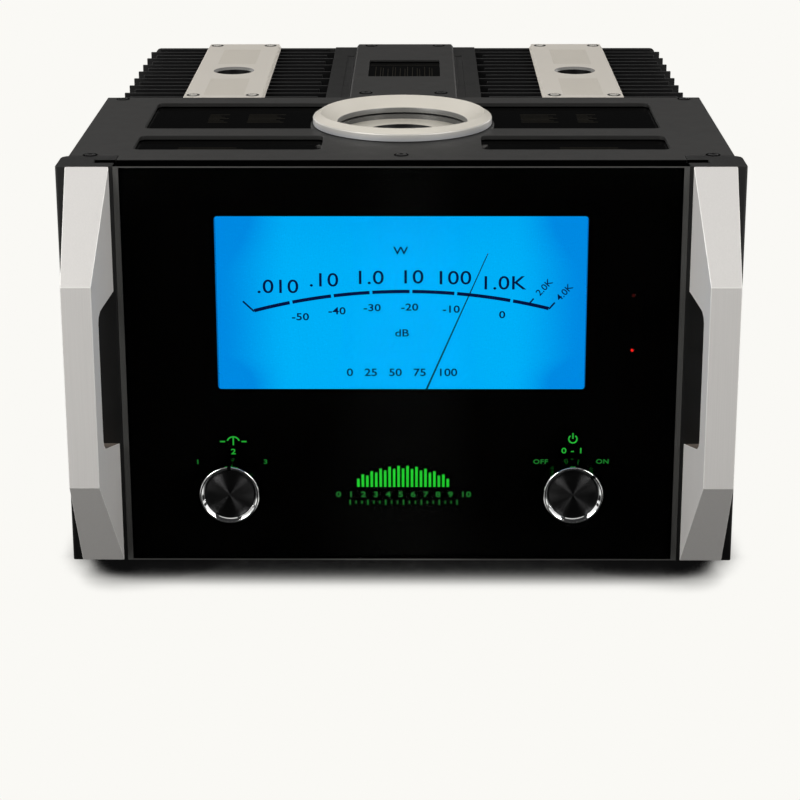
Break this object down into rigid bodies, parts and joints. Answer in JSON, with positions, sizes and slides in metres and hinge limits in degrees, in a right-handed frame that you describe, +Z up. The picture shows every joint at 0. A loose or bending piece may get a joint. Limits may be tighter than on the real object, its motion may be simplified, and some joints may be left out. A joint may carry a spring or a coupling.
{
  "type": "power amplifier",
  "caption": "Large audio power amplifier: glass front with a lit needle meter and rotary knobs, front handles, ringed top cover, finned heatsinks and rear sockets.",
  "frame": {"origin": "on the floor under the middle of the whole, handles and rear terminals included", "axes": "+X to the right seen from the front, +Y from the front to the back, +Z up"},
  "size_m": [0.4444, 0.511, 0.3005],
  "materials": {
    "front_glass": "polished, black print behind",
    "mask_print": "black print",
    "front_frame": "dark anodized",
    "black_paint": "fine black-grey powder coat",
    "handle_aluminium": "satin anodized",
    "ring_aluminium": "satin anodized, turned",
    "plate_aluminium": "fine brushed anodized",
    "heatsink_black": "black anodized",
    "knob_body": "polished, dark",
    "knob_rim": "polished",
    "knob_face": "black, spun",
    "smoked_glass": "dark, printed behind",
    "dial_lit": "blue, lit from behind, printed",
    "needle": "dark paint",
    "housing_white": "moulded",
    "movement_plastic": "moulded",
    "board": "lacquered board",
    "transformer_can": "black paint over potting",
    "transformer_core": "lacquered laminations",
    "foot_rubber": "moulded",
    "nickel": "satin nickel",
    "connector_plastic": "moulded",
    "slider_white": "moulded",
    "nut_black": "moulded, ridged",
    "nut_red": "moulded, ridged"
  },
  "bodies": {
    "chassis": {"front_glass": "front_glass", "printed_mask": "mask_print", "front_frame": "front_frame", "end_cap_left": "black_paint", "end_cap_right": "black_paint", "handle_left": "handle_aluminium", "handle_right": "handle_aluminium", "meter_housing": "housing_white", "meter_dial": "dial_lit", "meter_movement": "movement_plastic", "dial_light_board": "board", "meter_switch": "movement_plastic", "power_switch": "movement_plastic", "indicator_board": "board", "bottom_plate": "black_paint", "side_panel_left": "black_paint", "side_panel_right": "black_paint", "bulkhead": "black_paint", "rear_panel": "black_paint", "top_cover": "black_paint", "front_window_left": "smoked_glass", "front_window_right": "smoked_glass", "rear_window_left": "smoked_glass", "rear_window_right": "smoked_glass", "top_ring": "ring_aluminium", "ring_liner": "plate_aluminium", "power_transformer": "transformer_can", "heatsink_left": "heatsink_black", "heatsink_right": "heatsink_black", "heatsink_plate_left": "plate_aluminium", "heatsink_plate_right": "plate_aluminium", "centre_deck": "black_paint", "centre_cover": "black_paint", "centre_window": "smoked_glass", "output_transformer": "transformer_core", "filter_bank_left": "movement_plastic", "filter_bank_right": "movement_plastic", "amplifier_board_left": "board", "amplifier_board_right": "board", "foot_front_left": "foot_rubber", "foot_front_right": "foot_rubber", "foot_rear_left": "foot_rubber", "foot_rear_right": "foot_rubber", "mains_inlet": "connector_plastic", "balanced_input": "nickel", "signal_panel": "connector_plastic", "terminal_block": "connector_plastic"},
    "needle": {"meter_needle": "needle"},
    "left_knob": {"meter_knob": "knob_body", "meter_knob_rim": "knob_rim", "meter_knob_face": "knob_face"},
    "right_knob": {"power_knob": "knob_body", "power_knob_rim": "knob_rim", "power_knob_face": "knob_face"},
    "latch": {"input_latch": "nickel"},
    "slider": {"input_slider": "slider_white"},
    "nut_1": {"terminal_nut_1": "nut_black"},
    "nut_2": {"terminal_nut_2": "nut_red"},
    "nut_3": {"terminal_nut_3": "nut_black"},
    "nut_4": {"terminal_nut_4": "nut_red"}
  },
  "joints": [
    {"name": "needle_swing", "type": "hinge", "parent": "chassis", "child": "needle", "pos_m": [0, -0.1968, 0.096], "axis": [0, 1, 0], "range_deg": [-69, 22], "stiffness_Nm_per_rad": 0.02},
    {"name": "meter_knob_turn", "type": "hinge", "parent": "chassis", "child": "left_knob", "pos_m": [-0.1135, -0.2245, 0.0736], "axis": [0, 1, 0], "range_deg": [-45, 45]},
    {"name": "power_knob_turn", "type": "hinge", "parent": "chassis", "child": "right_knob", "pos_m": [0.1135, -0.2245, 0.0736], "axis": [0, 1, 0], "range_deg": [-90, 0]},
    {"name": "input_latch_press", "type": "slide", "parent": "chassis", "child": "latch", "axis": [0, -1, 0], "range_m": [0, 0.002], "stiffness_N_per_m": 500},
    {"name": "input_slider_slide", "type": "slide", "parent": "chassis", "child": "slider", "axis": [1, 0, 0], "range_m": [0, 0.0054]},
    {"name": "terminal_nut_1_turn", "type": "hinge", "parent": "chassis", "child": "nut_1", "pos_m": [-0.019, 0.245, 0.176], "axis": [0, 1, 0], "range_deg": [0, 720]},
    {"name": "terminal_nut_2_turn", "type": "hinge", "parent": "chassis", "child": "nut_2", "pos_m": [0.019, 0.245, 0.176], "axis": [0, 1, 0], "range_deg": [0, 720]},
    {"name": "terminal_nut_3_turn", "type": "hinge", "parent": "chassis", "child": "nut_3", "pos_m": [-0.019, 0.245, 0.138], "axis": [0, 1, 0], "range_deg": [0, 720]},
    {"name": "terminal_nut_4_turn", "type": "hinge", "parent": "chassis", "child": "nut_4", "pos_m": [0.019, 0.245, 0.138], "axis": [0, 1, 0], "range_deg": [0, 720]}
  ]
}
